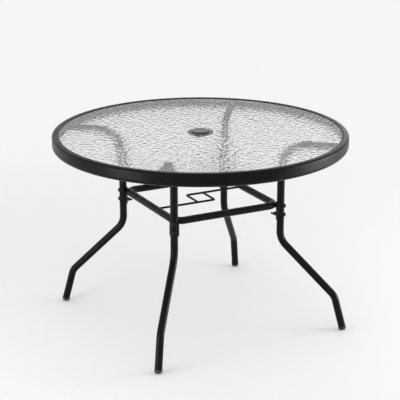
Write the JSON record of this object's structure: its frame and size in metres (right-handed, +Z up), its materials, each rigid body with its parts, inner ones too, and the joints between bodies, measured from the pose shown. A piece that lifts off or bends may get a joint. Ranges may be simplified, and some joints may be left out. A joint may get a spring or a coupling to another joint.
{
  "type": "umbrella table",
  "caption": "Round patio table with a rippled glass top in a rolled steel rim, splayed tube legs, a square underframe and a capped hole for an umbrella pole.",
  "frame": {"origin": "on the floor, under the middle of the umbrella hole", "axes": "+Z up; the sides of the underframe lie along X and Y, and the legs stand on the diagonals"},
  "size_m": [1.0669, 1.067, 0.716],
  "materials": {
    "powder_coat": "satin powder coat",
    "clear_glass": "rippled on one face",
    "gasket_rubber": "matt",
    "black_plastic": "fine moulded grain",
    "black_fastener": "black zinc plate"
  },
  "bodies": {
    "table": {"rim": "powder_coat", "glass_top": "clear_glass", "glass_gasket": "gasket_rubber", "umbrella_ring": "black_plastic", "frame_ring": "powder_coat", "guide_rod_front": "powder_coat", "guide_rod_back": "powder_coat", "upper_bolts": "black_fastener", "lower_bolts": "black_fastener", "nuts": "black_fastener", "head_washers": "black_fastener", "nut_washers": "black_fastener", "arm_front_left": "powder_coat", "arm_front_right": "powder_coat", "arm_back_right": "powder_coat", "arm_back_left": "powder_coat", "leg_front_left": "powder_coat", "leg_front_right": "powder_coat", "leg_back_right": "powder_coat", "leg_back_left": "powder_coat", "foot_front_left": "black_plastic", "foot_front_right": "black_plastic", "foot_back_right": "black_plastic", "foot_back_left": "black_plastic", "saddle_front_left": "powder_coat", "saddle_front_right": "powder_coat", "saddle_back_right": "powder_coat", "saddle_back_left": "powder_coat"},
    "plug": {"hole_plug": "black_plastic"}
  },
  "joints": [
    {"name": "plug_lift", "type": "slide", "parent": "table", "child": "plug", "axis": [0, 0, 1], "range_m": [0, 0.06]}
  ]
}
